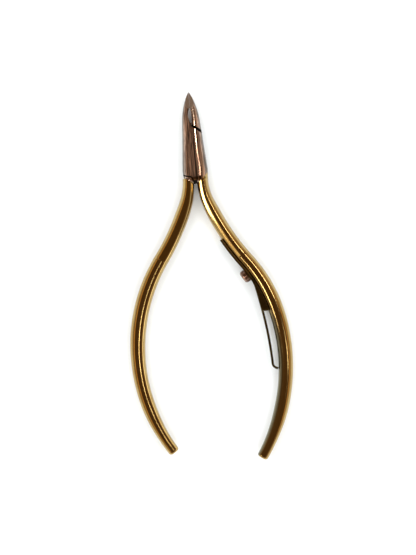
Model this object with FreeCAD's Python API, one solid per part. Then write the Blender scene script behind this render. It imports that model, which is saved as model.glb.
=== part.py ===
import FreeCAD
import Part
import math
import os

# Cuticle nipper, closed, lying on the flat back of its joint. Millimetres and degrees.
# X is to the right, Y runs from the handles to the tips, and Z is up, along the rivet.
# The origin is on the rivet's axis, in the plane of the joint's flat back face.

# head: the two jaws and the lap joint behind them
joint_depth = 6.0            # back face to front face of the closed joint
back_grind = 0.4             # ground off the rounded back to make it flat
tip_reach = 17.0             # rivet to the tips
tip_width = 0.3              # what is left of the two points together
ogive_start = 8.6            # where the straight sides turn into the pointed arch
ogive_half_width = 2.62
shoulder_drop = 6.0          # rivet to the widest place of the head
shoulder_half_width = 3.76
waist_drop = 8.6             # the slight waist where the shanks leave the head
waist_half_width = 3.6
fork_drop = 10.1             # rivet to the fork between the shanks
taper_start = 1.0            # where the jaws start to thin towards the tips
tip_back = 1.3               # height of the tips' back and front above the joint's back
tip_front = 3.6
bevel_start = 12.2           # where the ground face at the front of the tips begins
bevel_depth = 1.0            # thickness that it leaves at the very tips
edge_length = 4.4            # length of the cutting edges
edge_gap = 0.04              # between the closed cutting edges
relief_left = 0.75           # hollow of each jaw behind its cutting edge
relief_right = 0.3
head_roundness = 2.6         # power of the head's section: 2 is an ellipse, more is squarer

# lap joint
lap_gap = 0.05               # between the two half laps
slit_width = 0.62            # sloping slit between a jaw and the other lever's lap
slit_start = (0.15, 7.1)     # middle of that slit at the jaws and at the head's side
slit_end = (3.6, 4.5)
lap_radius = 8.0             # round lower edge of each half lap, about the rivet
lap_slit = 0.28              # between that edge and the other lever's shank
web_reach = 0.45             # how far each lap's web passes the middle at the fork
web_corner = 1.25            # where, beside the middle, the round edge turns down

# rivet
rivet_radius = 1.5
rivet_head_radius = 2.1
rivet_head_depth = 0.6
rivet_clearance = 0.03       # running clearance in the rear lever

# handles: a straight neck, then arcs of (radius, turn), where a positive turn is outwards
right_handle = {"start": (1.86, -9.0), "heading": 2.9, "neck": 1.5,
                "arcs": [(18.5, 17.8), (72.0, 16.3), (42.2, -22.6), (53.2, -49.3)]}
left_handle = {"start": (2.3, -8.6), "heading": 3.1, "neck": 0.9,
               "arcs": [(22.0, 19.3), (73.0, 13.3), (50.3, -69.4)]}
shank_length = 25.7          # along the handle, from the neck to the weld
neck_width, weld_width, bow_width, grip_width, end_width = 3.35, 4.25, 4.6, 4.2, 3.3
neck_depth, weld_depth, grip_depth, end_depth = 5.5, 4.4, 4.2, 3.4
handle_roundness = 2.3
end_rounding = 0.8           # on the square-cut ends

# spring, clamped to the inner side of the right handle by a screw: a heel that thickens
# to fill the widening gap beside the handle, and a thin tongue that grows from its end
spring_thickness = 0.7
heel_depth = 4.0
tongue_depth = 1.6
seat_grind = 0.22            # depth of the flat that the spring lies on
seat_start = 18.3            # along the handle, from the neck
screw_place = 31.2
seat_end = 33.3
heel_bend = (9.0, -18.0)     # the heel's inner side leaves the handle in a bend
heel_arc = (250.0, -1.6)     # and is nearly straight to the heel's end
heel_end = 44.3              # along the handle, from the neck
tongue_arc = (115.0, -7.9)
curl_arc = (1.4, 63.0)       # the tongue's end turns back to the handle
curl_tail = (60.0, 0.68)
root_gap = 0.03              # between the tongue and the heel
screw_head_radius = 1.9
screw_head_height = 1.7
screw_head_rounding = 0.5
screw_radius = 0.9
screw_length = 3.0           # under the head
screw_lift = 0.05            # the flat head bridges the spring's slight hollow
slot_width = 0.5
slot_depth = 0.6

middle = joint_depth / 2
section_step = 1.4           # between the sections that the head and the handles run through
rod_step = 3.0
far = 200.0                  # more than the nipper's length, for cutting tools
up = FreeCAD.Vector(0, 0, 1)


def vec(x, y, z=0.0):
    return FreeCAD.Vector(x, y, z)


def between(stations, place):
    """The value at a place among (place, value) stations, with level ends and no kinks."""
    for (a, low), (b, high) in zip(stations, stations[1:]):
        if place <= b:
            t = max(0.0, (place - a) / (b - a))
            return low + (high - low) * t * t * (3 - 2 * t)
    return stations[-1][1]


def rounded_section(centre, across, half_width, half_depth, roundness):
    """A closed superellipse, half_width each way along across and half_depth each way in Z."""
    points = []
    count = 24
    for i in range(count):
        angle = 2 * math.pi * (i + 0.5) / count
        c, s = math.cos(angle), math.sin(angle)
        u = half_width * math.copysign(abs(c) ** (2 / roundness), c)
        v = half_depth * math.copysign(abs(s) ** (2 / roundness), s)
        points.append(centre + across * u + up * v)
    curve = Part.BSplineCurve()
    curve.interpolate(points, PeriodicFlag=True)
    return Part.Wire([curve.toShape()])


def prism(edges, low=-far, high=far):
    """The outline made by these edges, in plan, as a solid from low to high in Z."""
    face = Part.Face(Part.Wire(Part.__sortEdges__(edges)))
    face.translate(up * low)
    return face.extrude(up * (high - low))


def line(a, b):
    return Part.LineSegment(a, b).toShape()


def arc(a, on, b):
    return Part.Arc(a, on, b).toShape()


def lines(points):
    return [line(a, b) for a, b in zip(points, points[1:])]


# ---- the outside of the closed head

def head_half_width(y):
    """Waist, shoulder, straight taper, and an arc to the point that carries on the taper."""
    taper = (shoulder_half_width - ogive_half_width) / (ogive_start + shoulder_drop)
    if y <= -waist_drop:
        return waist_half_width
    if y <= -shoulder_drop:
        share = (y + waist_drop) / (waist_drop - shoulder_drop)
        return waist_half_width + (shoulder_half_width - waist_half_width) * share
    if y <= ogive_start:
        return shoulder_half_width - taper * (y + shoulder_drop)
    lean = math.atan(taper)
    rise = tip_reach - ogive_start
    fall = ogive_half_width - tip_width / 2
    radius = math.hypot(rise, fall) / (2 * math.sin(math.atan2(fall, rise) - lean))
    turned = math.asin(min(1.0, (y - ogive_start) / radius + math.sin(lean)))
    return ogive_half_width - radius * (math.cos(lean) - math.cos(turned))


def thinned(y, at_joint, at_tip):
    """A height that is even over the joint and runs straight from there to the tips."""
    share = max(0.0, (y - taper_start) / (tip_reach - taper_start))
    return at_joint + (at_tip - at_joint) * share


def head_envelope():
    """The closed head before it is parted: rounded, flat at the back, bevelled at the tips."""
    count = round((tip_reach + fork_drop) / section_step)
    sections = []
    for i in range(count + 1):
        y = -fork_drop + (tip_reach + fork_drop) * i / count
        front = thinned(y, joint_depth, tip_front)
        back = thinned(y, -back_grind, tip_back)
        sections.append(rounded_section(vec(0, y, (front + back) / 2), vec(1, 0),
                                        head_half_width(y), (front - back) / 2, head_roundness))
    head = Part.makeLoft(sections, True, False)
    bevel_front = thinned(bevel_start, joint_depth, tip_front)
    slope = (bevel_front - tip_back - bevel_depth) / (tip_reach - bevel_start)
    reach = 3.0
    side = [vec(0, bevel_start - reach, bevel_front + slope * reach),
            vec(0, tip_reach + reach, tip_back + bevel_depth - slope * reach),
            vec(0, tip_reach + reach, far), vec(0, bevel_start - reach, far)]
    bevel = Part.Face(Part.Wire(lines(side + side[:1]))).extrude(vec(far, 0))
    bevel.translate(vec(-far / 2, 0))
    back = Part.makeBox(far, far, far, vec(-far / 2, -far / 2, -far))
    return head.cut(bevel).cut(back)


# ---- plan outlines that part the head, drawn for the lever with the left jaw

def slit_side(which):
    """Two points on the slit's lower (-1) or upper (1) side: at the jaws, and out of the head."""
    a, b = vec(*slit_start), vec(*slit_end)
    along = (b - a).normalize()
    a = a + vec(-along.y, along.x) * which * slit_width / 2
    at_jaws = a + along * ((edge_gap / 2 - a.x) / along.x)
    return at_jaws, a + along * 3 * shoulder_half_width


def jaw_edges(relief):
    """The left jaw's inner side, from above the tip to the slit: cutting edge, then hollow."""
    inner = -edge_gap / 2
    top = tip_reach - edge_length
    low = slit_side(1)[0].y
    return [line(vec(inner, tip_reach + 1), vec(inner, top)),
            arc(vec(inner, top), vec(-relief, (top + low) / 2), vec(inner, low))]


def lap_edge(radius, side, web):
    """The lap's round lower edge, from outside the head to the fork, on side -1 or 1."""
    reach = 2 * shoulder_half_width * 0.7
    outer = vec(side * reach, -math.sqrt(radius ** 2 - reach ** 2))
    corner = vec(side * web_corner, -math.sqrt(radius ** 2 - web_corner ** 2))
    half = (outer.x + corner.x) / 2
    fork = vec(side * web, -fork_drop)
    bend = vec((corner.x * 2 + fork.x * 3) / 5, (corner.y * 3 + fork.y * 2) / 5)
    return [arc(outer, vec(half, -math.sqrt(radius ** 2 - half ** 2)), corner),
            arc(corner, bend, fork)]


def front_plan(relief):
    """Front half: the left jaw, the lap across the whole head, and the right shank."""
    side, low = slit_side(-1)
    lap = lap_edge(lap_radius, -1, web_reach)
    outer = lap[0].Vertexes[0].Point
    fork = vec(-web_reach, -fork_drop)
    jaw = jaw_edges(relief)
    return prism(jaw + lap + lines([
        vec(-edge_gap / 2, slit_side(1)[0].y), vec(-edge_gap / 2, side.y), low,
        vec(far, low.y), vec(far, -far), vec(fork.x, -far), fork])
        + lines([outer, vec(-far, outer.y), vec(-far, tip_reach + 1),
                 vec(-edge_gap / 2, tip_reach + 1)]), middle + lap_gap / 2, far)


def back_plan(relief):
    """Back half: the left jaw and the right shank, with the other lever's lap between."""
    side, out = slit_side(1)
    jaw = jaw_edges(relief)
    jaw_part = prism(jaw + lines([
        vec(-edge_gap / 2, side.y), vec(-out.x, out.y), vec(-far, out.y),
        vec(-far, tip_reach + 1), vec(-edge_gap / 2, tip_reach + 1)]), -far, middle + lap_gap / 2)
    lap = lap_edge(lap_radius + lap_slit, 1, web_reach + lap_slit)
    outer = lap[0].Vertexes[0].Point
    shank_part = prism(lap + lines([
        vec(web_reach + lap_slit, -fork_drop), vec(-web_reach, -fork_drop),
        vec(-web_reach, -far), vec(far, -far), vec(far, outer.y), outer]),
        -far, middle + lap_gap / 2)
    return jaw_part, shank_part


# ---- handles

def run_length(path):
    return path["neck"] + sum(r * math.radians(abs(turn)) for r, turn in path["arcs"])


def on_path(path, place, offset=0.0):
    """The point at a place along the path, offset outwards, with the outward direction."""
    heading = math.radians(path["heading"])
    point = vec(*path["start"])
    straight = min(place, path["neck"])
    point = point + vec(math.sin(heading), -math.cos(heading)) * straight
    left = place - path["neck"]
    for radius, turn in path["arcs"]:
        if left <= 0:
            break
        way = math.copysign(1.0, turn)
        part = min(left, radius * math.radians(abs(turn)))
        centre = point + vec(math.cos(heading), math.sin(heading)) * way * radius
        heading += way * part / radius
        point = centre - vec(math.cos(heading), math.sin(heading)) * way * radius
        left -= part
    outward = vec(math.cos(heading), math.sin(heading))
    return point + outward * offset, outward, math.degrees(heading)


def along_path(path, start, end, offset):
    """Exact arcs along the path at this offset, from one place to another."""
    joins = [path["neck"]]
    for radius, turn in path["arcs"]:
        joins.append(joins[-1] + radius * math.radians(abs(turn)))
    small = 0.001
    stops = [start] + [j for j in joins if start + small < j < end - small] + [end]
    return [arc(on_path(path, a, offset)[0], on_path(path, (a + b) / 2, offset)[0],
                on_path(path, b, offset)[0]) for a, b in zip(stops, stops[1:])]


def strip(path, start, end, inner, outer, depth):
    """A strip of sheet that follows the path between two offsets, centred in depth."""
    sides = [along_path(path, start, end, offset) for offset in (inner, outer)]
    ends = [line(on_path(path, place, inner)[0], on_path(path, place, outer)[0])
            for place in (start, end)]
    return prism(sides[0] + sides[1] + ends, middle - depth / 2, middle + depth / 2)


def rod(path, start, end):
    """The handle's rounded bar between two places along it."""
    length = run_length(path)
    last = length - end_rounding
    wide = [(0, neck_width), (0.14 * length, weld_width), (0.5 * length, bow_width),
            (0.8 * length, grip_width), (last, end_width)]
    deep = [(0, neck_depth), (0.3 * length, weld_depth), (0.8 * length, grip_depth),
            (last, end_depth)]
    count = round((end - start) / rod_step)
    sections = []
    for i in range(count + 1):
        place = start + (end - start) * i / count
        point, outward, _ = on_path(path, place)
        sections.append(rounded_section(point + up * middle, outward, between(wide, place) / 2,
                                        between(deep, place) / 2, handle_roundness))
    return Part.makeLoft(sections, True, False)


def handle_bar(path):
    """From the weld to the square-cut end, whose edge is rounded."""
    length = run_length(path)
    bar_end = length - end_rounding
    sections = []
    steps = 4
    for i in range(steps + 1):
        angle = math.pi / 2 * i / steps
        point, outward, _ = on_path(path, bar_end + end_rounding * math.sin(angle))
        inset = end_rounding * (1 - math.cos(angle))
        sections.append(rounded_section(point + up * middle, outward, end_width / 2 - inset,
                                        end_depth / 2 - inset, handle_roundness))
    return rod(path, shank_length, bar_end).fuse(Part.makeLoft(sections, True, False))


# ---- levers and rivet

def rivet_blank(gap):
    """Shank and countersunk heads, larger all round by gap, and longer than the joint is deep."""
    spare = 1.0
    profile = [vec(0, 0, -spare), vec(rivet_head_radius + gap, 0, -spare),
               vec(rivet_head_radius + gap, 0, 0), vec(rivet_radius + gap, 0, rivet_head_depth)]
    over = [vec(point.x, 0, joint_depth - point.z) for point in reversed(profile)]
    face = Part.Face(Part.Wire(lines(profile + over + profile[:1])))
    return face.revolve(vec(0, 0), up, 360)


def lever(envelope, path, relief):
    """The lever with the left jaw in front: jaw, half lap, and the right shank to the weld."""
    body = envelope.fuse(rod(path, 0.0, shank_length))
    parts = [body.common(front_plan(relief))]
    parts += [body.common(tool) for tool in back_plan(relief)]
    return parts[0].fuse(parts[1:])


def turned_over(shape):
    """Half a turn about the head's own long axis, which makes the other lever of the pair."""
    shape = shape.copy()
    shape.rotate(vec(0, 0, middle), vec(0, 1), 180)
    return shape


# ---- spring and screw

spring_inner = seat_grind - (weld_width + bow_width) / 4 - spring_thickness
spring_outer = spring_inner + spring_thickness


def spring_path():
    """The line along the spring's inner side below the screw, half a thickness inside it."""
    point, _, heading = on_path(right_handle, seat_end, (spring_inner + spring_outer) / 2)
    return {"start": (point.x, point.y), "heading": heading, "neck": 0.0,
            "arcs": [heel_bend, heel_arc, tongue_arc, curl_arc, curl_tail]}


def heel_length():
    return run_length({"neck": 0.0, "arcs": [heel_bend, heel_arc]})


def heel():
    """Even where the screw clamps it, then a wedge between its inner side and the handle."""
    path = spring_path()
    half = spring_thickness / 2
    inner = along_path(right_handle, seat_start, seat_end, spring_inner)
    inner += along_path(path, 0.0, heel_length(), -half)
    outer = along_path(right_handle, seat_start, heel_end, spring_outer)
    ends = [line(inner[0].Vertexes[0].Point, outer[0].Vertexes[0].Point),
            line(inner[-1].Vertexes[-1].Point, outer[-1].Vertexes[-1].Point)]
    return prism(inner + outer + ends, middle - heel_depth / 2, middle + heel_depth / 2)


def on_screw(shape, height=0.0):
    """A shape drawn upwards from the origin, moved onto the screw's axis over the spring."""
    point, outward, _ = on_path(right_handle, screw_place, spring_inner)
    shape = shape.copy()
    turn = FreeCAD.Rotation(up, outward * -1)
    shape.Placement = FreeCAD.Placement(point + up * middle - outward * height, turn)
    return shape


def spring_screw():
    """Domed head with a slot across it, on a plain shank."""
    head = Part.makeCylinder(screw_head_radius, screw_head_height)
    head = head.makeFillet(screw_head_rounding, [edge for edge in head.Edges
                                                 if edge.CenterOfMass.z > screw_head_height / 2
                                                 and len(edge.Vertexes) == 1])
    slot = Part.makeBox(slot_width, far, slot_depth,
                        vec(-slot_width / 2, -far / 2, screw_head_height - slot_depth))
    shank = Part.makeCylinder(screw_radius, screw_length, vec(0, 0, -screw_length))
    return on_screw(head.cut(slot).fuse(shank).removeSplitter(), screw_lift)


def screw_hole():
    return on_screw(Part.makeCylinder(screw_radius, screw_length, vec(0, 0, -screw_length)))


def seat_cut():
    """The flat ground along the handle's inner side under the spring's heel."""
    return strip(right_handle, seat_start, heel_end, spring_outer - 3, spring_outer,
                 2 * joint_depth)


def build():
    envelope = head_envelope()
    rivet_hole = rivet_blank(0.0)
    hole = screw_hole()
    tongue = spring_path()
    seat = seat_cut()
    half = spring_thickness / 2
    spring_heel = heel().cut(hole)
    spring_tongue = strip(tongue, heel_length() + root_gap, run_length(tongue), -half, half,
                          tongue_depth)

    front = lever(envelope, right_handle, relief_left).cut([rivet_hole, seat])
    rear = turned_over(lever(turned_over(envelope), left_handle, relief_right))
    rear = rear.cut(rivet_blank(rivet_clearance))
    parts = {
        "front_jaw_lever": front,
        "rear_jaw_lever": rear,
        "right_handle_bar": handle_bar(right_handle).cut([seat, hole]),
        "left_handle_bar": turned_over(handle_bar(left_handle)),
        "pivot_rivet": rivet_hole.common(envelope),
        "spring_heel": spring_heel,
        "spring_tongue": spring_tongue.cut(spring_heel),
        "spring_screw": spring_screw(),
    }
    os.makedirs("parts", exist_ok=True)
    for name, shape in parts.items():
        box = shape.BoundBox
        print(name, "solids", len(shape.Solids), "valid", shape.isValid(),
              "volume %.1f" % shape.Volume,
              "x %.2f..%.2f y %.2f..%.2f z %.2f..%.2f" % (box.XMin, box.XMax, box.YMin,
                                                          box.YMax, box.ZMin, box.ZMax))
        shape.exportStep("parts/" + name + ".step")


build()
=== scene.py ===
import bpy
import bmesh
import math
import numpy as np
from mathutils import Matrix


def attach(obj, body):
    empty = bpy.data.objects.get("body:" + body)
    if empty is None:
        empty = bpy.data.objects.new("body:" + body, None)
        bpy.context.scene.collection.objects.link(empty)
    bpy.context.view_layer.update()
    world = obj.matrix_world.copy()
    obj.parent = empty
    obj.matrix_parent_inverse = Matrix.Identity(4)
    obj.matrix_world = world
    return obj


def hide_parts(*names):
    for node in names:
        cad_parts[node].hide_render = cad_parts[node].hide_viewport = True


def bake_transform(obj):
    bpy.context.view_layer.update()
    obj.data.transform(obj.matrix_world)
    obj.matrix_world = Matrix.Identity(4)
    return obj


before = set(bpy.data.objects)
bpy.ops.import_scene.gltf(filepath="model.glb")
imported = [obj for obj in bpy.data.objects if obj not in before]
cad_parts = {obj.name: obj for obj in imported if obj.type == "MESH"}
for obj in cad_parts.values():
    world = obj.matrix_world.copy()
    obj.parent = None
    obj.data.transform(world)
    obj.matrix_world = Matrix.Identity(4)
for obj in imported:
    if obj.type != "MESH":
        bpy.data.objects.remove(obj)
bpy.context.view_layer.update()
print("frame loaded:", ", ".join(sorted(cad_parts)))

# Shapes are worked out in millimetres, as the joint is 6 mm deep, and end up in metres.
mm = 0.001
middle = 3.0          # half the joint's depth, where the two levers meet
far = 60.0            # longer than any part of the head, for cutting tools
proud = 1.0           # how far a smaller tool stands out past what it cuts
upward = np.array([0.0, 0.0, 1.0])


def flat(x, y):
    return np.array([x, y, 0.0])


def between(stations, place):
    for (a, low), (b, high) in zip(stations, stations[1:]):
        if place <= b:
            t = max(0.0, (place - a) / (b - a))
            return low + (high - low) * t * t * (3 - 2 * t)
    return stations[-1][1]


def newPiece(name, points, faces):
    shape = bpy.data.meshes.new(name)
    shape.from_pydata([tuple(p) for p in points], [], faces)
    work = bmesh.new()
    work.from_mesh(shape)
    bmesh.ops.recalc_face_normals(work, faces=work.faces)
    work.to_mesh(shape)
    work.free()
    piece = bpy.data.objects.new(name, shape)
    bpy.context.scene.collection.objects.link(piece)
    return piece


# a skin through rings of points, closed at both ends
def loft(name, rings):
    count = len(rings[0])
    faces = []
    for r in range(len(rings) - 1):
        a, b = r * count, (r + 1) * count
        faces += [(a + i, a + (i + 1) % count, b + (i + 1) % count, b + i) for i in range(count)]
    faces.append(tuple(range(count)))
    faces.append(tuple(range((len(rings) - 1) * count, len(rings) * count)))
    return newPiece(name, np.concatenate(rings), faces)


# an outline in plan, as a solid from low to high
def prism(name, outline, low, high):
    return loft(name, [np.array([(x, y, z) for x, y in outline]) for z in (low, high)])


def ovalRing(centre, across, halfWidth, halfDepth, roundness, count=96):
    angle = 2 * np.pi * (np.arange(count) + 0.5) / count
    c, s = np.cos(angle), np.sin(angle)
    u = halfWidth * np.sign(c) * np.abs(c) ** (2 / roundness)
    v = halfDepth * np.sign(s) * np.abs(s) ** (2 / roundness)
    return centre + np.outer(u, across) + np.outer(v, upward)


def combine(piece, tool, operation, keepTool=False):
    step = piece.modifiers.new("step", "BOOLEAN")
    step.operation, step.object, step.solver = operation, tool, "MANIFOLD"
    bpy.context.view_layer.update()
    result = piece.evaluated_get(bpy.context.evaluated_depsgraph_get())
    shape = bpy.data.meshes.new_from_object(result)
    piece.modifiers.clear()
    piece.data = shape
    if not keepTool:
        bpy.data.objects.remove(tool)
    return piece


crease = math.radians(32)


# millimetres to metres, smooth faces with crisp edges, and the piece's materials
def finishShape(piece, *materials):
    piece.data.transform(Matrix.Scale(mm, 4))
    piece.data.shade_smooth()
    piece.data.set_sharp_from_angle(angle=crease)
    chosen = np.zeros(len(piece.data.polygons), np.int32)
    piece.data.polygons.foreach_get("material_index", chosen)
    piece.data.materials.clear()
    for material in materials:
        piece.data.materials.append(material)
    piece.data.polygons.foreach_set("material_index", np.minimum(chosen, len(materials) - 1))


# cuts a piece in two closed pieces, the second being what lies inside the tool
def splitPiece(piece, name, tool):
    part = bpy.data.objects.new(name, piece.data.copy())
    bpy.context.scene.collection.objects.link(part)
    combine(part, tool, "INTERSECT", keepTool=True)
    return combine(piece, tool, "DIFFERENCE"), part


# three points to a run of points on their circle
def arcPoints(a, on, b, count=24):
    ax, ay, bx, by, cx, cy = *a, *on, *b
    d = 2 * (ax * (by - cy) + bx * (cy - ay) + cx * (ay - by))
    aa, bb, cc = ax**2 + ay**2, bx**2 + by**2, cx**2 + cy**2
    ux = (aa * (by - cy) + bb * (cy - ay) + cc * (ay - by)) / d
    uy = (aa * (cx - bx) + bb * (ax - cx) + cc * (bx - ax)) / d
    radius = math.hypot(ax - ux, ay - uy)
    start, passing, end = (math.atan2(y - uy, x - ux) for x, y in (a, on, b))
    sweep = (end - start) % (2 * math.pi)
    if (passing - start) % (2 * math.pi) > sweep:
        sweep -= 2 * math.pi
    return [(ux + radius * math.cos(start + sweep * i / count),
             uy + radius * math.sin(start + sweep * i / count)) for i in range(count + 1)]


def toLinear(hexColour):
    parts = [int(hexColour[i:i + 2], 16) / 255 for i in (1, 3, 5)]
    linear = [c / 12.92 if c <= 0.04045 else ((c + 0.055) / 1.055) ** 2.4 for c in parts]
    return tuple(linear) + (1.0,)


# a node, its settings and sockets by name or number, and its links
def addNode(tree, kind, settings={}, links={}):
    node = tree.nodes.new(kind)
    for name, value in settings.items():
        if name == "stops":
            ramp = node.color_ramp.elements
            while len(ramp) < len(value):
                ramp.new(0.5)
            for element, (place, colour) in zip(ramp, value):
                element.position, element.color = place, colour
        elif isinstance(name, int) or name in node.inputs:
            node.inputs[name].default_value = value
        else:
            setattr(node, name, value)
    for name, source in links.items():
        tree.links.new(source, node.inputs[name])
    return node


def newMaterial(name):
    material = bpy.data.materials.new(name)
    material.use_nodes = True
    tree = material.node_tree
    tree.nodes.clear()
    return material, tree


# Gold electroplate on polished steel: a thin warm mirror, so it shows the studio in deep
# brown and cream, with a faint haze of fine hairlines and cloudy tarnish that dulls it.
gold = {
    "bright": "#AE9460", "tarnished": "#94713C", "cloudSize": 5.0, "cloudShare": 0.45,
    "cloudLevels": (0.42, 0.72), "roughness": 0.09, "haze": 0.08, "hazeLevels": (0.3, 0.8),
    "hairline": 0.12, "hairlineDepth": 0.0006, "wavy": 7.0, "wavyDepth": 0.012,
    # olive and its settings: a painted shade on the inner side of the right bar
    "olive": "#6E6650", "oliveFrom": 0.75, "oliveBlend": 0.5, "oliveStart": 40.0,
    "oliveRun": 8.0,
}
# Tool steel, hand polished lengthwise on a wheel. Its long stripes, pale and brown by turns, are
# partly painted reflections of the polishing facets: tones of its colour, set by noise, with only a
# slight relief.
steel = {
    "tones": [(0.36, "#4A3830"), (0.45, "#96806F"), (0.52, "#B7A294"), (0.58, "#6B564A"),
              (0.66, "#CDB9AB")],
    "edge": "#67605A", "edgeFrom": 0.72, "edgeFull": 0.95,
    "lineWidth": 0.24, "lineShades": [(0.40, (0.38, 0.35, 0.33, 1.0)),
                                      (0.5, (0.95, 0.9, 0.87, 1.0)),
                                      (0.6, (1.6, 1.45, 1.35, 1.0))],
    "facetWidth": 0.4, "facetDepth": 0.010, "alongShare": 0.02, "throughShare": 0.3,
    "roughness": 0.11, "groundColour": "#9A877A", "groundRoughness": 0.45,
    "groundEdge": (-0.05, -0.02), "grindPitch": 0.12, "grindDepth": 0.01,
    # inside: the near-black painted shade on the faces within the joint
    "inside": "#0E0A08", "insideShadeMottle": "#1C1511", "insidePatch": 0.8, "insideRoughness": 0.6,
}


def goldLook(tree, place):
    cloud = addNode(tree, "ShaderNodeTexNoise", {"Scale": 1 / gold["cloudSize"], "Detail": 3.0},
                    {"Vector": place})
    patch = addNode(tree, "ShaderNodeMapRange", {"From Min": gold["cloudLevels"][0],
                    "From Max": gold["cloudLevels"][1], "To Min": 0.0,
                    "To Max": gold["cloudShare"]}, {"Value": cloud.outputs["Fac"]})
    colour = addNode(tree, "ShaderNodeMix", {"data_type": "RGBA", 6: toLinear(gold["bright"]),
                     7: toLinear(gold["tarnished"])}, {0: patch.outputs["Result"]})
    # painted shade: the inner side of the right bar, from the screw down, is turned olive grey
    unrubbed = addNode(tree, "ShaderNodeAttribute", {"attribute_name": "unrubbed"})
    colour = addNode(tree, "ShaderNodeMix", {"data_type": "RGBA", 7: toLinear(gold["olive"])},
                     {0: unrubbed.outputs["Fac"], 6: colour.outputs[2]})
    rough = addNode(tree, "ShaderNodeMapRange", {"From Min": gold["hazeLevels"][0],
                    "From Max": gold["hazeLevels"][1], "To Min": gold["roughness"],
                    "To Max": gold["roughness"] + gold["haze"]}, {"Value": cloud.outputs["Fac"]})
    swell = addNode(tree, "ShaderNodeTexNoise", {"Scale": 1 / gold["wavy"], "Detail": 1.0},
                    {"Vector": place})
    dent = addNode(tree, "ShaderNodeBump", {"Strength": 1.0, "Distance": gold["wavyDepth"] * mm},
                   {"Height": swell.outputs["Fac"]})
    hair = addNode(tree, "ShaderNodeTexNoise", {"Scale": 1 / gold["hairline"], "Detail": 2.0},
                   {"Vector": place})
    relief = addNode(tree, "ShaderNodeBump", {"Strength": 1.0,
                     "Distance": gold["hairlineDepth"] * mm},
                     {"Height": hair.outputs["Fac"], "Normal": dent.outputs["Normal"]})
    return colour.outputs[2], rough.outputs["Result"], relief.outputs["Normal"]


# the mesh's own place, in millimetres, so that patterns stay put when a lever turns
def placeInMillimetres(tree):
    where = addNode(tree, "ShaderNodeTexCoord")
    return addNode(tree, "ShaderNodeVectorMath", {"operation": "SCALE", "Scale": 1 / mm},
                   {0: where.outputs["Object"]}).outputs["Vector"]


def metalOut(tree, colour, rough, normal):
    surface = addNode(tree, "ShaderNodeBsdfPrincipled", {"Metallic": 1.0},
                      {"Base Color": colour, "Roughness": rough, "Normal": normal})
    addNode(tree, "ShaderNodeOutputMaterial", {}, {"Surface": surface.outputs["BSDF"]})


def makeGoldPlate():
    material, tree = newMaterial("polishedGoldPlate")
    metalOut(tree, *goldLook(tree, placeInMillimetres(tree)))
    return material


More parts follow.
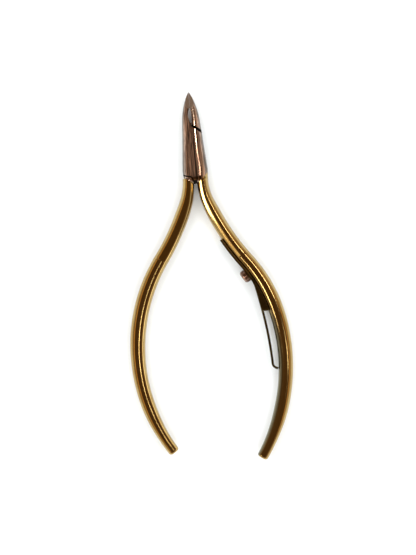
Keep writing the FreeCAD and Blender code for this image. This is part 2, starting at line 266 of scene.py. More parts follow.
def makeHeadSteel():
    material, tree = newMaterial("wheelPolishedSteel")
    place = placeInMillimetres(tree)
    apart = addNode(tree, "ShaderNodeSeparateXYZ", {}, {0: place})
    y, z = apart.outputs[1], apart.outputs[2]
    across = addNode(tree, "ShaderNodeAttribute", {"attribute_name": "across"})

    # facets run the length of the head and close up towards the tips
    stretched = {}
    for axis, share, source in (("X", head["shoulderHalf"], across.outputs["Fac"]),
                                ("Y", steel["alongShare"], y), ("Z", steel["throughShare"], z)):
        stretched[axis] = addNode(tree, "ShaderNodeMath", {"operation": "MULTIPLY", 1: share},
                                  {0: source}).outputs[0]
    long = addNode(tree, "ShaderNodeCombineXYZ", {}, stretched)
    facets = addNode(tree, "ShaderNodeTexNoise", {"Scale": 1 / steel["facetWidth"], "Detail": 2.0,
                     "Roughness": 0.6}, {"Vector": long.outputs[0]})
    # painted reflections: the facets set the colour in stripes, pale and brown by turns
    tone = addNode(tree, "ShaderNodeValToRGB", {"stops": [(level, toLinear(c))
                   for level, c in steel["tones"]]}, {0: facets.outputs["Fac"]})
    # painted reflection: the head's sides are greyer than its middle
    outward = addNode(tree, "ShaderNodeMath", {"operation": "ABSOLUTE"}, {0: across.outputs["Fac"]})
    sideShare = addNode(tree, "ShaderNodeMapRange", {"From Min": steel["edgeFrom"],
                        "From Max": steel["edgeFull"]}, {"Value": outward.outputs[0]})
    polishAndPaintedReflections = addNode(tree, "ShaderNodeMix", {"data_type": "RGBA", 7: toLinear(steel["edge"])},
                       {0: sideShare.outputs["Result"], 6: tone.outputs["Color"]})
    # painted reflections of the wheel's finest lines, light and dark, the light ones brighter than
    # the steel's own tone
    lines = addNode(tree, "ShaderNodeTexNoise", {"Scale": 1 / steel["lineWidth"], "Detail": 2.0,
                    "Roughness": 0.6}, {"Vector": long.outputs[0]})
    shades = addNode(tree, "ShaderNodeValToRGB", {"stops": steel["lineShades"]},
                     {0: lines.outputs["Fac"]})
    polishAndPaintedReflections = addNode(tree, "ShaderNodeMix", {"data_type": "RGBA", "blend_type": "MULTIPLY",
                       0: 1.0}, {6: polishAndPaintedReflections.outputs[2], 7: shades.outputs["Color"]})
    facetNormal = addNode(tree, "ShaderNodeBump", {"Strength": 1.0,
                          "Distance": steel["facetDepth"] * mm}, {"Height": facets.outputs["Fac"]})

    # the ground face at the tips lies in one sloping plane
    slope = head["bevelSlope"]
    plane = addNode(tree, "ShaderNodeMath", {"operation": "MULTIPLY_ADD", 1: slope,
                    2: -head["bevelFront"] - slope * head["bevelStart"]}, {0: y})
    above = addNode(tree, "ShaderNodeMath", {"operation": "ADD"}, {0: plane.outputs[0], 1: z})
    ground = addNode(tree, "ShaderNodeMapRange", {"From Min": steel["groundEdge"][0],
                     "From Max": steel["groundEdge"][1]}, {"Value": above.outputs[0]})
    grain = addNode(tree, "ShaderNodeTexNoise", {"Scale": 1 / steel["grindPitch"], "Detail": 2.0},
                    {"Vector": place})
    groundNormal = addNode(tree, "ShaderNodeBump", {"Strength": 1.0,
                           "Distance": steel["grindDepth"] * mm},
                           {"Height": grain.outputs["Fac"]})
    colour = addNode(tree, "ShaderNodeMix", {"data_type": "RGBA",
                     7: toLinear(steel["groundColour"])},
                     {0: ground.outputs["Result"], 6: polishAndPaintedReflections.outputs[2]})
    rough = addNode(tree, "ShaderNodeMapRange", {"To Min": steel["roughness"],
                    "To Max": steel["groundRoughness"]}, {"Value": ground.outputs["Result"]})
    normal = addNode(tree, "ShaderNodeMix", {"data_type": "VECTOR"},
                     {0: ground.outputs["Result"], 4: facetNormal.outputs[0],
                      5: groundNormal.outputs[0]})
    metalOut(tree, colour.outputs[2], rough.outputs["Result"], normal.outputs[1])
    return material


dark = {"levels": (0.35, 0.7), "haze": 0.12}


def makeDarkMetal(name, look):
    material, tree = newMaterial(name)
    place = placeInMillimetres(tree)
    cloud = addNode(tree, "ShaderNodeTexNoise", {"Scale": 1 / look["patch"], "Detail": 3.0},
                    {"Vector": place})
    share = addNode(tree, "ShaderNodeMapRange", {"From Min": dark["levels"][0],
                    "From Max": dark["levels"][1]}, {"Value": cloud.outputs["Fac"]})
    colour = addNode(tree, "ShaderNodeMix", {"data_type": "RGBA", 6: toLinear(look["clean"]),
                     7: toLinear(look["dull"])}, {0: share.outputs["Result"]})
    # where it is worn bright, it shows the colour of the plating beside it
    worn = addNode(tree, "ShaderNodeAttribute", {"attribute_name": "worn"})
    colour = addNode(tree, "ShaderNodeMix", {"data_type": "RGBA", 7: toLinear(gold["bright"])},
                     {0: worn.outputs["Fac"], 6: colour.outputs[2]})
    rough = addNode(tree, "ShaderNodeMapRange", {"To Min": look["roughness"],
                    "To Max": look["roughness"] + dark["haze"]},
                    {"Value": share.outputs["Result"]})
    grain = addNode(tree, "ShaderNodeTexNoise", {"Scale": 1 / look["grain"], "Detail": 2.0},
                    {"Vector": place})
    normal = addNode(tree, "ShaderNodeBump", {"Strength": 1.0, "Distance": look["depth"] * mm},
                     {"Height": grain.outputs["Fac"]})
    metalOut(tree, colour.outputs[2], rough.outputs["Result"], normal.outputs["Normal"])
    return material


# Painted shade: a near-black, matt coat on the faces inside the joint, which makes the slits read
# as open gaps.
def makeGapShade():
    material, tree = newMaterial("paintedGapShade")
    place = placeInMillimetres(tree)
    cloud = addNode(tree, "ShaderNodeTexNoise", {"Scale": 1 / steel["insidePatch"],
                    "Detail": 2.0}, {"Vector": place})
    colour = addNode(tree, "ShaderNodeMix", {"data_type": "RGBA", 6: toLinear(steel["inside"]),
                     7: toLinear(steel["insideShadeMottle"])}, {0: cloud.outputs["Fac"]})
    surface = addNode(tree, "ShaderNodeBsdfPrincipled", {"Roughness": steel["insideRoughness"],
                      "Specular IOR Level": 0.1}, {"Base Color": colour.outputs[2]})
    addNode(tree, "ShaderNodeOutputMaterial", {}, {"Surface": surface.outputs["BSDF"]})
    return material


# the head: the two jaws and the half-lapped joint

head = {
    "depth": 6.0, "backGrind": 0.4, "tipReach": 17.0, "tipWidth": 0.3, "ogiveStart": 8.6,
    "ogiveHalf": 2.62, "shoulderDrop": 6.0, "shoulderHalf": 3.76, "waistDrop": 8.6,
    "waistHalf": 3.6, "forkDrop": 10.1, "taperStart": 1.0, "tipBack": 1.3, "tipFront": 3.6,
    "bevelStart": 12.2, "edgeLength": 4.4, "edgeGap": 0.04, "reliefLeft": 0.75,
    "reliefRight": 0.3, "roundness": 2.6, "saddle": 2.6, "saddleDepth": 0.55,
    "lapGap": 0.05, "slitWidth": 0.74, "slitStart": (0.15, 7.1), "slitEnd": (3.6, 4.5),
    "lapRadius": 8.0, "lapSlit": 0.42, "webReach": 0.45, "webCorner": 1.25,
    "lapReach": 1.4, "slitReach": 3, "groundPast": 3, "groundStep": 1.0, "rings": 110,
    "ringPoints": 160,
}


def thinned(y, atJoint, atTip):
    share = max(0.0, (y - head["taperStart"]) / (head["tipReach"] - head["taperStart"]))
    return atJoint + (atTip - atJoint) * share


head["bevelFront"] = thinned(head["bevelStart"], head["depth"], head["tipFront"])
head["bevelBack"] = head["tipBack"] + head["groundStep"]
head["bevelSlope"] = ((head["bevelFront"] - head["bevelBack"])
                      / (head["tipReach"] - head["bevelStart"]))


def headHalfWidth(y):
    shoulder, ogive = head["shoulderHalf"], head["ogiveHalf"]
    taper = (shoulder - ogive) / (head["ogiveStart"] + head["shoulderDrop"])
    if y <= -head["waistDrop"]:
        return head["waistHalf"]
    if y <= -head["shoulderDrop"]:
        return between([(-head["waistDrop"], head["waistHalf"]),
                        (-head["shoulderDrop"], shoulder)], y)
    if y <= head["ogiveStart"]:
        return shoulder - taper * (y + head["shoulderDrop"])
    lean = math.atan(taper)
    rise = head["tipReach"] - head["ogiveStart"]
    fall = ogive - head["tipWidth"] / 2
    radius = math.hypot(rise, fall) / (2 * math.sin(math.atan2(fall, rise) - lean))
    bent = math.asin(min(1.0, (y - head["ogiveStart"]) / radius + math.sin(lean)))
    return ogive - radius * (math.cos(lean) - math.cos(bent))


# the closed head before it is parted; its lower end rounds down into the fork
def headBlank(name):
    rings = []
    length = head["tipReach"] + head["forkDrop"]
    for i in range(head["rings"] + 1):
        y = -head["forkDrop"] + length * i / head["rings"]
        front = thinned(y, head["depth"], head["tipFront"])
        back = thinned(y, -head["backGrind"], head["tipBack"])
        drop = max(0.0, (head["saddle"] - (y + head["forkDrop"])) / head["saddle"])
        keep = 1 - head["saddleDepth"] * (1 - math.sqrt(max(0.0, 1 - drop * drop)))
        centre = (front + back) / 2
        rings.append(ovalRing(np.array([0, y, centre]), flat(1, 0), headHalfWidth(y),
                              (front - back) / 2 * keep, head["roundness"],
                              head["ringPoints"]))
    blank = loft(name, rings)
    past, slope = head["groundPast"], head["bevelSlope"]
    top = [(head["bevelStart"] - past, head["bevelFront"] + past * slope),
           (head["tipReach"] + past, head["bevelBack"] - past * slope),
           (head["tipReach"] + past, far), (head["bevelStart"] - past, far)]
    wedge = loft("wedge", [np.array([(x, y, z) for y, z in top]) for x in (-far, far)])
    combine(blank, wedge, "DIFFERENCE")
    under = prism("under", [(-far, -far), (far, -far), (far, far), (-far, far)], -far, 0.0)
    return combine(blank, under, "DIFFERENCE")


# one side of the slit between a jaw and the other lever's lap: its inner and outer ends
def slitSide(which):
    a, b = np.array(head["slitStart"]), np.array(head["slitEnd"])
    along = (b - a) / np.linalg.norm(b - a)
    a = a + np.array([-along[1], along[0]]) * which * head["slitWidth"] / 2
    atJaws = a + along * ((head["edgeGap"] / 2 - a[0]) / along[0])
    return tuple(atJaws), tuple(a + along * head["slitReach"] * head["shoulderHalf"])


# the lower edge of a lap: an arc about the rivet, then a bend down into the fork
def lapEdge(radius, side, web):
    def drop(x):
        return -math.sqrt(radius**2 - x**2)

    reach = head["lapReach"] * head["shoulderHalf"]
    outer, corner = (side * reach, drop(reach)), (side * head["webCorner"], drop(head["webCorner"]))
    half = (outer[0] + corner[0]) / 2
    fork = (side * web, -head["forkDrop"])
    bend = ((corner[0] * 2 + fork[0] * 3) / 5, (corner[1] * 3 + fork[1] * 2) / 5)
    return arcPoints(outer, (half, drop(half)), corner) + arcPoints(corner, bend, fork, 10)[1:]


# the front half's outline and the back half's two, for the lever whose jaw is on the left
def leverOutlines(relief):
    inner, top = -head["edgeGap"] / 2, head["tipReach"] - head["edgeLength"]
    low, out = slitSide(1)
    under, underOut = slitSide(-1)
    jaw = [(inner, head["tipReach"] + 1)] + arcPoints((inner, top), (-relief, (top + low[1]) / 2),
                                                      (inner, low[1]))
    lap = lapEdge(head["lapRadius"], -1, head["webReach"])
    front = (jaw + [(inner, under[1]), underOut, (far, underOut[1]), (far, -far),
                    (lap[-1][0], -far)]
             + lap[::-1] + [(-far, lap[0][1]), (-far, head["tipReach"] + 1)])
    jawBack = jaw + [(-out[0], out[1]), (-far, out[1]), (-far, head["tipReach"] + 1)]
    web = head["webReach"]
    lap = lapEdge(head["lapRadius"] + head["lapSlit"], 1, web + head["lapSlit"])
    shankBack = lap + [(-web, -head["forkDrop"]), (-web, -far), (far, -far), (far, lap[0][1])]
    return front, jawBack, shankBack


# handles: a straight neck, then arcs of (radius, turn), a positive turn being outwards

rightHandle = {"start": (1.86, -9.0), "heading": 2.9, "neck": 1.5,
               "arcs": [(18.5, 17.8), (72.0, 16.3), (42.2, -22.6), (53.2, -49.3)]}
leftHandle = {"start": (2.3, -8.6), "heading": 3.1, "neck": 0.9,
              "arcs": [(22.0, 19.3), (73.0, 13.3), (50.3, -69.4)]}
bar = {
    "shank": 25.7, "widths": [(0, 3.35), (0.14, 4.25), (0.5, 4.6), (0.8, 4.2), (1, 3.3)],
    "depths": [(0, 5.5), (0.3, 4.4), (0.8, 4.2), (1, 3.4)], "roundness": 2.3,
    "endRounding": 0.8, "weldGroove": 0.05, "weldReach": 0.22, "ringStep": 0.4, "endRings": 12,
}


def runLength(path):
    return path["neck"] + sum(r * math.radians(abs(turn)) for r, turn in path["arcs"])


# the point at a place along a path, with the outward direction there
def pathPoint(path, place, offset=0.0):
    heading = math.radians(path["heading"])
    point = flat(*path["start"])
    point = point + flat(math.sin(heading), -math.cos(heading)) * min(place, path["neck"])
    left = place - path["neck"]
    for radius, turn in path["arcs"]:
        if left <= 0:
            break
        way = math.copysign(1.0, turn)
        part = min(left, radius * math.radians(abs(turn)))
        centre = point + flat(math.cos(heading), math.sin(heading)) * way * radius
        heading += way * part / radius
        point = centre - flat(math.cos(heading), math.sin(heading)) * way * radius
        left -= part
    outward = flat(math.cos(heading), math.sin(heading))
    return point + outward * offset, outward, math.degrees(heading)


# a handle's section at a place along its path, narrowed at the weld by a fine groove
def barRing(path, place, side, inset=0.0):
    length = runLength(path)
    last = length - bar["endRounding"]
    wide = [(share * length if share < 1 else last, w) for share, w in bar["widths"]]
    deep = [(share * length if share < 1 else last, d) for share, d in bar["depths"]]
    centre, outward, _ = pathPoint(path, place)
    fromWeld = abs(place - bar["shank"]) / bar["weldReach"]
    inset += bar["weldGroove"] * max(0.0, 1 - fromWeld) ** 2
    ring = ovalRing(centre + upward * middle, outward, between(wide, place) / 2 - inset,
                    between(deep, place) / 2 - inset, bar["roundness"])
    ring[:, 0] *= side
    return ring


# where the rings go: evenly, and close together at the weld's groove
def barPlaces(start, end):
    count = round((end - start) / bar["ringStep"])
    places = list(np.linspace(start, end, count + 1))
    near = [bar["shank"] + bar["weldReach"] * t for t in (-1, -0.66, -0.33, 0, 0.33, 0.66, 1)]
    return sorted(set([p for p in places if abs(p - bar["shank"]) > bar["weldReach"]]
                      + [p for p in near if start <= p <= end] + [start, end]))


def shankRod(path, side):
    return loft("shankRod", [barRing(path, p, side) for p in barPlaces(0.0, bar["shank"])])


def handleBar(name, path, side):
    last = runLength(path) - bar["endRounding"]
    rings = [barRing(path, p, side) for p in barPlaces(bar["shank"], last)]
    for i in range(1, bar["endRings"] + 1):
        angle = math.pi / 2 * i / bar["endRings"]
        rings.append(barRing(path, last + bar["endRounding"] * math.sin(angle), side,
                             bar["endRounding"] * (1 - math.cos(angle))))
    return loft(name, rings)


# the spring and its screw, on the inner side of the right handle

spring = {
    "thickness": 0.7, "heelDepth": 4.0, "tongueDepth": 1.6, "seatGrind": 0.22, "seatStart": 18.3,
    "seatEnd": 33.3, "bend": (9.0, -18.0), "heel": (250.0, -1.6), "heelEnd": 44.3,
    "tongue": (115.0, -7.9), "curl": (1.4, 63.0), "tail": (60.0, 0.68), "edge": 0.14,
    "corner": 0.5, "fillet": 0.8, "rootStep": 0.02, "bendRun": 7.0, "rings": 150,
    "seatPoints": 110, "seatPast": 3,
}
spring["inner"] = (spring["seatGrind"] - (bar["widths"][1][1] + bar["widths"][2][1]) / 4
                   - spring["thickness"])
spring["outer"] = spring["inner"] + spring["thickness"]
screw = {"place": 31.2, "headRadius": 1.9, "headHeight": 1.7, "rounding": 0.8, "radius": 0.9,
         "length": 3.0, "slotWidth": 0.5, "slotDepth": 0.6, "lift": 0.05, "holeGap": 0.01,
         "rim": 0.12, "slotReach": 4}


def springPath():
    centre = (spring["inner"] + spring["outer"]) / 2
    point, _, heading = pathPoint(rightHandle, spring["seatEnd"], centre)
    return {"start": (point[0], point[1]), "heading": heading, "neck": 0.0,
            "arcs": [spring[k] for k in ("bend", "heel", "tongue", "curl", "tail")]}


# a bar in section between an inner and an outer point, with rounded edges
def sheetRing(inner, outer, depth, edge):
    thickness = np.linalg.norm(outer - inner)
    across = (outer - inner) / thickness
    ring = []
    for su, sv, start in ((1, 1, 0), (-1, 1, 90), (-1, -1, 180), (1, -1, 270)):
        for i in range(7):
            a = math.radians(start + 15 * i)
            ring.append((su * (thickness / 2 - edge) + edge * math.cos(a),
                         sv * (depth / 2 - edge) + edge * math.sin(a)))
    ring = np.array(ring)
    return ((inner + outer) / 2 + upward * middle + np.outer(ring[:, 0], across)
            + np.outer(ring[:, 1], upward))


# grinds the seat for the spring into the inner side of the right handle
def seatCut(piece):
    places = np.linspace(spring["seatStart"], spring["heelEnd"], spring["seatPoints"])
    deepest, past = spring["outer"], spring["outer"] - spring["seatPast"]
    outline = ([tuple(pathPoint(rightHandle, p, past)[0][:2]) for p in places]
               + [tuple(pathPoint(rightHandle, p, deepest)[0][:2]) for p in places[::-1]])
    return combine(piece, prism("seat", outline, -far, far), "DIFFERENCE")


# a turned shape, from (radius, height) pairs, about an axis
def turned(name, profile, origin, axis, aside, count=72):
    other = np.cross(axis, aside)
    rings = []
    for radius, height in profile:
        angle = 2 * np.pi * np.arange(count) / count
        rings.append(origin + axis * height + np.outer(radius * np.cos(angle), aside)
                     + np.outer(radius * np.sin(angle), other))
    return loft(name, rings)


print("making the levers")
rivet = {"radius": 1.5, "headRadius": 2.1, "headDepth": 0.6, "clearance": 0.03, "seam": 0.012}


# the rivet with its countersunk ends, or with a gap the hole for it
def rivetBlank(name, gap):
    end, shank, deep = rivet["headRadius"] + gap, rivet["radius"] + gap, rivet["headDepth"]
    profile = [(end, -proud), (end, 0.0), (shank, deep), (shank, head["depth"] - deep),
               (end, head["depth"]), (end, head["depth"] + proud)]
    return turned(name, profile, flat(0, 0), upward, flat(1, 0), 96)


def buildLever(name, path, side, relief):
    body = combine(headBlank(name), shankRod(path, side), "UNION")
    front, jawBack, shankBack = leverOutlines(relief)
    split = middle + side * head["lapGap"] / 2
    toFront, toBack = (split, side * far + middle), (split, middle - side * far)
    tool = None
    for outline, ends in ((front, toFront), (jawBack, toBack), (shankBack, toBack)):
        part = prism("part", [(side * x, y) for x, y in outline], min(ends), max(ends))
        tool = part if tool is None else combine(tool, part, "UNION")
    return combine(body, tool, "INTERSECT")


# where each lever's plating starts: its place at the head's side, and its slope inwards
plating = {"frontLever": (3.74, -6.9, 1.0), "rearLever": (3.4, -8.3, 0.6)}
headSteel = makeHeadSteel()
gapShade = makeGapShade()
goldPlate = makeGoldPlate()


def faceCentres(piece):
    centres = np.zeros(len(piece.data.polygons) * 3)
    piece.data.polygons.foreach_get("center", centres)
    return centres.reshape(-1, 3)


# how far out in the head's section a point is: 1 is on its skin
def headShare(points):
    halfWidths = np.array([headHalfWidth(y) for y in points[:, 1]])
    fronts = np.array([thinned(y, head["depth"], head["tipFront"]) for y in points[:, 1]])
    backs = np.array([thinned(y, -head["backGrind"], head["tipBack"]) for y in points[:, 1]])
    u = np.abs(points[:, 0]) / halfWidths
    v = np.abs(points[:, 2] - (fronts + backs) / 2) / ((fronts - backs) / 2)
    share = (u ** head["roundness"] + v ** head["roundness"]) ** (1 / head["roundness"])
    return share, points[:, 0] / halfWidths


# the same for a handle's section, from the nearest place on its path
def rodShare(points, path, side):
    places = np.linspace(0, bar["shank"], 160)
    length = runLength(path)
    spots = np.array([pathPoint(path, p)[0][:2] for p in places])
    mirrored = points[:, :2] * np.array([side, 1])
    gaps = np.linalg.norm(mirrored[:, None, :] - spots[None, :, :], axis=2)
    nearest = gaps.argmin(axis=1)
    wide = np.array([between([(s * length, w) for s, w in bar["widths"]], p) for p in places]) / 2
    deep = np.array([between([(s * length, d) for s, d in bar["depths"]], p) for p in places]) / 2
    u = gaps.min(axis=1) / wide[nearest]
    v = np.abs(points[:, 2] - middle) / deep[nearest]
    return (u ** bar["roundness"] + v ** bar["roundness"]) ** (1 / bar["roundness"])


# cuts a lever at the edge of its plating, with a jaw above and a shank below
def partLever(lever, jawName, shankName, side):
    x0, y0, lean = plating[lever.name]
    low, high = (y0 + lean * (side * x - x0) for x in (-far, far))
    below = prism("below", [(-far, low), (far, high), (far, -3 * far), (-far, -3 * far)], -far, far)
    jaw, shank = splitPiece(lever, shankName, below)
    jaw.name = jawName
    return jaw, shank


# where a lever's faces are open to the air: shares of a section, then distances in mm from
# the flat back, from the ground face, from the middle and from the fork
bare = {"skin": 0.985, "rod": 0.97, "saddleSkin": 0.6, "back": 0.01, "ground": 0.02,
        "saddleHalf": 2.4, "flank": 1.2, "webHeight": 0.9, "webMiddle": -0.4, "webHalf": 0.8}


# paints shade, near black, on the faces that are not open to the air, and on the front lever's web
# at the fork
def paintJointShade(piece, path, side):
    centres = faceCentres(piece)
    x, y, z = centres.T
    fork, waist = -head["forkDrop"], -head["waistDrop"]
    skin, _ = headShare(centres)
    bevel = head["bevelFront"] - head["bevelSlope"] * (y - head["bevelStart"])
    ring = rodShare(centres, path, side)
    outside = ((skin > bare["skin"]) | (z < bare["back"]) | (np.abs(z - bevel) < bare["ground"])
               | ((ring > bare["rod"]) & (y < waist)) | (y < fork))
    saddle = (y < fork + head["saddle"]) & (skin > bare["saddleSkin"])
    outside |= saddle & (np.abs(x) < bare["saddleHalf"])
    outside |= (side * x > bare["flank"]) & (y < waist)
    if side > 0:
        outside &= ~((y < fork + bare["webHeight"])
                     & (np.abs(x - bare["webMiddle"]) < bare["webHalf"]))
    piece.data.polygons.foreach_set("material_index", (~outside).astype(np.int32))


def markPoints(piece, name, values):
    mark = piece.data.attributes.new(name, "FLOAT", "POINT")
    mark.data.foreach_set("value", np.asarray(values, np.float32))


# each point's place along the right handle, and how far outwards it lies from the middle
def alongHandle(piece):
    points = np.array([v.co for v in piece.data.vertices])[:, :2]
    places = np.linspace(0, runLength(rightHandle), 240)
    spots = [pathPoint(rightHandle, p) for p in places]
    middles = np.array([spot[0][:2] for spot in spots])
    outwards = np.array([spot[1][:2] for spot in spots])
    nearest = np.linalg.norm(points[:, None] - middles[None], axis=2).argmin(axis=1)
    return places[nearest], np.sum((points - middles[nearest]) * outwards[nearest], axis=1)


frontLever = buildLever("frontLever", rightHandle, 1, head["reliefLeft"])
combine(frontLever, rivetBlank("hole", rivet["seam"]), "DIFFERENCE")
seatCut(frontLever)
rearLever = buildLever("rearLever", leftHandle, -1, head["reliefRight"])
combine(rearLever, rivetBlank("hole", rivet["clearance"]), "DIFFERENCE")
rivetPiece = combine(rivetBlank("pivotRivet", 0.0), headBlank("crown"), "INTERSECT")
frontJaw, rightShank = partLever(frontLever, "frontJaw", "rightShank", 1)
rearJaw, leftShank = partLever(rearLever, "rearJaw", "leftShank", -1)
for piece, body, node in ((frontJaw, "front_lever", "front_jaw_lever"),
                          (rightShank, "front_lever", "front_jaw_lever"),
                          (rearJaw, "rear_lever", "rear_jaw_lever"),
                          (leftShank, "rear_lever", "rear_jaw_lever"),
                          (rivetPiece, "front_lever", "pivot_rivet")):
    if piece is not rivetPiece:
        rear = body == "rear_lever"
        paintJointShade(piece, leftHandle if rear else rightHandle, -1 if rear else 1)
    plated = piece in (rightShank, leftShank)
    if not plated:
        points = np.array([v.co for v in piece.data.vertices])
        markPoints(piece, "across", headShare(points)[1])
    finishShape(piece, goldPlate if plated else headSteel, gapShade)
    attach(piece, body)
    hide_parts(node)

print("making the handle bars")
rightBar = seatCut(handleBar("rightBar", rightHandle, 1))
leftBar = handleBar("leftBar", leftHandle, -1)
axisPoint, axisOut, _ = pathPoint(rightHandle, screw["place"], spring["inner"])
screwAxis = -axisOut
screwBase = axisPoint + upward * middle + screwAxis * screw["lift"]
holeRadius = screw["radius"] + screw["holeGap"]
hole = turned("hole", [(holeRadius, -screw["length"] - 2 * screw["holeGap"]),
                      (holeRadius, proud)],
              screwBase, screwAxis, upward)
combine(rightBar, hole, "DIFFERENCE", keepTool=True)
# painted shade: how far the inner side of the right bar is turned olive grey, from the screw down
place, offset = alongHandle(rightBar)
markPoints(rightBar, "unrubbed",
           np.clip((-offset - gold["oliveFrom"]) / gold["oliveBlend"], 0, 1)
           * np.clip((place - gold["oliveStart"]) / gold["oliveRun"], 0, 1))
for piece, body, node in ((rightBar, "front_lever", "right_handle_bar"),
                          (leftBar, "rear_lever", "left_handle_bar")):
    finishShape(piece, goldPlate)
    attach(piece, body)
    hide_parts(node)

print("making the spring and its screw")
# Spring steel, plated with the handles and then rubbed: a thin olive brown, satin strip.
springLook = {"clean": "#6E5F3E", "dull": "#4A3D25", "patch": 3.0, "roughness": 0.3,
              "grain": 0.15, "depth": 0.003, "wornFrom": 0.22, "wornBlend": 0.15,
              "wornRun": 3.0, "wornShare": 0.8}
# The screw's head has gone brown with handling, and its edges still catch the light.
screwLook = {"clean": "#A88C7C", "dull": "#6B4E40", "patch": 1.2, "roughness": 0.2,
             "grain": 0.12, "depth": 0.003}
line = springPath()
heelLength = runLength({"neck": 0.0, "arcs": [spring["bend"], spring["heel"]]})
half = spring["thickness"] / 2
rings = []
# the heel: even under the screw, then a wedge between its own line and the handle
clamped = spring["seatEnd"] - spring["seatStart"]
wholeHeel = clamped + heelLength
for t in np.linspace(0, wholeHeel, spring["rings"]):
    if t <= clamped:
        inner = pathPoint(rightHandle, spring["seatStart"] + t, spring["inner"])[0]
    else:
        inner = pathPoint(line, t - clamped, -half)[0]
    along = spring["seatStart"] + t * (spring["heelEnd"] - spring["seatStart"]) / wholeHeel
    outer = pathPoint(rightHandle, along, spring["outer"])[0]
    fromEnd = min(t, wholeHeel - t)
    rounded = max(0.0, 1 - fromEnd / spring["corner"])
    depth = spring["heelDepth"] - spring["corner"] * (1 - math.sqrt(1 - rounded**2))
    rings.append(sheetRing(inner, outer, depth, spring["edge"]))
# the tongue grows from the heel's end, out of a small fillet
for place in np.linspace(heelLength + spring["rootStep"], runLength(line), spring["rings"]):
    grown = max(0.0, 1 - (place - heelLength) / spring["corner"]) ** 2
    rings.append(sheetRing(pathPoint(line, place, -half)[0], pathPoint(line, place, half)[0],
                           spring["tongueDepth"] + spring["fillet"] * grown, spring["edge"]))
springPiece = loft("springPiece", rings)
combine(springPiece, hole, "DIFFERENCE")
place, offset = alongHandle(springPiece)
# gold still shows on the clamped part, where it meets the handle
wornEdge = offset - spring["inner"] - springLook["wornFrom"]
markPoints(springPiece, "worn", np.clip(wornEdge / springLook["wornBlend"], 0, 1)
           * np.clip((spring["seatEnd"] - place) / springLook["wornRun"], 0, 1)
           * springLook["wornShare"])
finishShape(springPiece, makeDarkMetal("darkSpringSteel", springLook))
root = pathPoint(line, heelLength)[0] + upward * middle
bent = pathPoint(line, heelLength + spring["bendRun"])[0] + upward * middle
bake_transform(springPiece)
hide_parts("spring_heel", "spring_tongue")

profile = [(screw["radius"], -screw["length"]), (screw["radius"], 0.0),
           (screw["headRadius"] - screw["rim"], 0.0), (screw["headRadius"], screw["rim"])]
profile += [(screw["headRadius"] - screw["rounding"] * (1 - math.cos(a)),
             screw["headHeight"] - screw["rounding"] * (1 - math.sin(a)))
            for a in np.linspace(0, math.pi / 2, 9)]
screwPiece = turned("springScrew", profile, screwBase, screwAxis, upward)
sideways = np.cross(screwAxis, upward)
slotBox = []
for height in (screw["headHeight"] - screw["slotDepth"], screw["headHeight"] + proud):
    for u, v in ((-1, -1), (1, -1), (1, 1), (-1, 1)):
        slotBox.append(screwBase + screwAxis * height + sideways * screw["slotReach"] * u
                       + upward * v * screw["slotWidth"] / 2)
combine(screwPiece, loft("slot", [np.array(slotBox[:4]), np.array(slotBox[4:])]), "DIFFERENCE")
finishShape(screwPiece, makeDarkMetal("tarnishedScrewSteel", screwLook))
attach(screwPiece, "front_lever")
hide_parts("spring_screw")

print("setting the studio")
studio = {
    "floor": "#F4F3F0", "floorMottle": "#F1F0ED", "mottleScale": 40.0, "floorSize": 3.0,
    "floorDrop": 0.00005, "pale": (1.0, 1.0, 1.0, 1.0), "warm": (0.38, 0.25, 0.13, 1.0),
    "zenith": (0.13, 0.072, 0.03, 1.0), "lampDistance": 0.8, "distance": 0.75,
    "viewHeight": 0.1641, "viewCentre": (1.0, -38.05), "turn": -5.0,
}
floor = newPiece("floor", [(-1, -1, 0), (1, -1, 0), (1, 1, 0), (-1, 1, 0)], [(0, 1, 2, 3)])
floor.data.transform(Matrix.Scale(studio["floorSize"] / 2, 4))
floor.data.transform(Matrix.Translation((0, 0, -studio["floorDrop"])))
# Matt painted board: almost white, with no shine of its own.
floorMaterial, tree = newMaterial("mattBoard")
mottle = addNode(tree, "ShaderNodeTexNoise", {"Scale": studio["mottleScale"], "Detail": 2.0})
shade = addNode(tree, "ShaderNodeMix", {"data_type": "RGBA", 6: toLinear(studio["floor"]),
                7: toLinear(studio["floorMottle"])}, {0: mottle.outputs["Fac"]})
surface = addNode(tree, "ShaderNodeBsdfPrincipled", {"Roughness": 0.9},
                  {"Base Color": shade.outputs[2]})
addNode(tree, "ShaderNodeOutputMaterial", {}, {"Surface": surface.outputs["BSDF"]})
floor.data.materials.append(floorMaterial)

# a light tent: pale all round near the floor, and warm and dark overhead
world = bpy.data.worlds.new("lightTent")
bpy.context.scene.world = world
world.use_nodes = True
tree = world.node_tree
tree.nodes.clear()
where = addNode(tree, "ShaderNodeTexCoord")
apart = addNode(tree, "ShaderNodeSeparateXYZ", {}, {0: where.outputs["Generated"]})
tent = addNode(tree, "ShaderNodeValToRGB", {"stops": [(0.0, studio["pale"]),
               (0.26, studio["pale"]), (0.46, studio["warm"]), (0.8, studio["zenith"])]},
               {0: apart.outputs["Z"]})
glow = addNode(tree, "ShaderNodeBackground", {"Strength": 1.0}, {"Color": tent.outputs["Color"]})
addNode(tree, "ShaderNodeOutputWorld", {}, {"Surface": glow.outputs["Background"]})


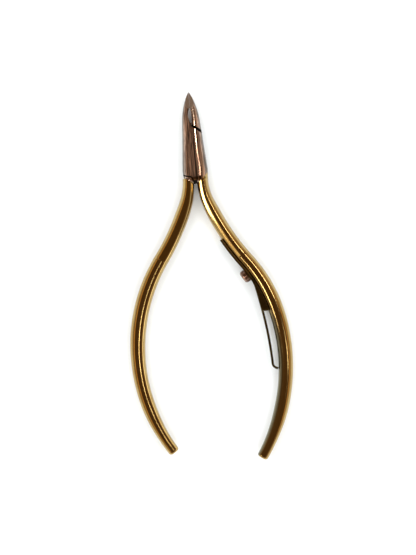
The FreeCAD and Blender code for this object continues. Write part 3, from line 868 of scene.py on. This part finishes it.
# Lamps round the tent. Azimuth is from +X and lean from straight up, wide and tall are the
# angles they fill, all in degrees. Each lights only the pieces it is linked to, which no real
# lamp can do, so that its reflection falls in its place at rest and from straight above.
onlyOn = {
    "floor": ["floor"], "head": ["frontJaw", "rearJaw", "pivotRivet"],
    "left": ["leftShank", "leftBar"], "leftBar": ["leftBar"], "leftShank": ["leftShank"],
    "right": ["rightShank", "rightBar"], "rightShank": ["rightShank"],
    "rightBar": ["rightBar"], "screw": ["springScrew"],
}
white, cream, amber = (1.0, 1.0, 1.0), (1.0, 0.95, 0.84), (1.0, 0.60, 0.22)
cool, pink = (0.86, 0.94, 1.0), (1.0, 0.86, 0.78)
lamps = [
    # name, on, azimuth, lean, wide, tall, spin, radiance, colour
    ("floorEast", "floor", 0, 42, 42, 40, 0, 3.4, cool),
    ("floorNorth", "floor", 90, 42, 42, 40, 0, 3.4, cool),
    ("floorWest", "floor", 180, 42, 42, 40, 0, 3.4, cool),
    ("floorSouth", "floor", 270, 42, 42, 40, 0, 3.4, cool),
    ("headStripe", "head", 24, 22, 30, 4, -24, 34.0, cream),
    ("headLeft", "head", 182, 50, 60, 44, 0, 0.32, pink),
    ("headTop", "head", 100, 9, 50, 46, 0, 0.22, pink),
    ("headRight", "head", 2, 58, 60, 40, 0, 0.36, pink),
    ("stripe", "right", 27, 27, 12, 4, 10, 12.0, cream),
    ("shankGlow", "rightShank", 190, 60, 22, 60, 0, 14.0, cream),
    ("seatGlow", "rightShank", 212, 36, 10, 40, 0, 1.4, (1.0, 0.85, 0.6)),
    ("barGlint", "rightBar", 350, 24, 4, 5, 0, 7.0, cream),
    ("barGlow", "rightBar", 207, 32, 10, 7, 0, 12.0, cream),
    ("leftGlow", "leftBar", 338, 10, 3, 5, 0, 9.0, cream),
    ("leftGlint", "leftBar", 0, 4, 1.2, 2, 0, 2.5, cream),
    ("leftCard", "left", 180, 44, 60, 16, 0, 0.8, amber),
    ("rightCard", "right", 2, 50, 60, 12, 0, 0.8, amber),
    ("paleBar", "leftBar", 0, 74, 80, 20, 0, 1.7, white),
    ("paleShank", "leftShank", -40, 74, 20, 20, 0, 1.7, white),
    ("screwGlint", "screw", 214, 50, 30, 20, 0, 9.0, pink),
    ("screwTop", "screw", 240, 12, 16, 14, 0, 3.0, pink),
]


def direction(azimuth, lean):
    a, e = math.radians(azimuth), math.radians(lean)
    return np.array([math.sin(e) * math.cos(a), math.sin(e) * math.sin(a), math.cos(e)])


def makeLamp(name, on, azimuth, lean, wide, tall, spin, radiance, colour):
    data = bpy.data.lights.new(name, "AREA")
    away = studio["lampDistance"]
    data.shape = "RECTANGLE"
    data.size = 2 * away * math.tan(math.radians(wide / 2))
    data.size_y = 2 * away * math.tan(math.radians(tall / 2))
    data.energy = radiance * math.pi * data.size * data.size_y
    data.color = colour
    lamp = bpy.data.objects.new(name, data)
    bpy.context.scene.collection.objects.link(lamp)
    towards = direction(azimuth, lean)
    across = np.cross(upward, towards)
    across = across / np.linalg.norm(across)
    along = np.cross(towards, across)
    turn = math.radians(spin)
    across, along = (across * math.cos(turn) + along * math.sin(turn),
                     along * math.cos(turn) - across * math.sin(turn))
    aim = np.array([*studio["viewCentre"], 0]) * mm
    lamp.matrix_world = Matrix([(across[i], along[i], towards[i], aim[i] + towards[i] * away)
                                for i in range(3)] + [(0, 0, 0, 1)])
    lamp.visible_camera = False
    lit = bpy.data.collections.get("lit_" + on)
    if lit is None:
        lit = bpy.data.collections.new("lit_" + on)
        for member in onlyOn[on]:
            lit.objects.link(bpy.data.objects[member])
    lamp.light_linking.receiver_collection = lit


for lamp in lamps:
    makeLamp(*lamp)

view = bpy.data.cameras.new("view")
view.lens = studio["distance"] * view.sensor_width / studio["viewHeight"]
camera = bpy.data.objects.new("view", view)
bpy.context.scene.collection.objects.link(camera)
camera.location = (studio["viewCentre"][0] * mm, studio["viewCentre"][1] * mm,
                   middle * mm + studio["distance"])
camera.rotation_euler = (0, 0, math.radians(studio["turn"]))
bpy.context.scene.camera = camera
bpy.context.scene.view_settings.view_transform = "Standard"
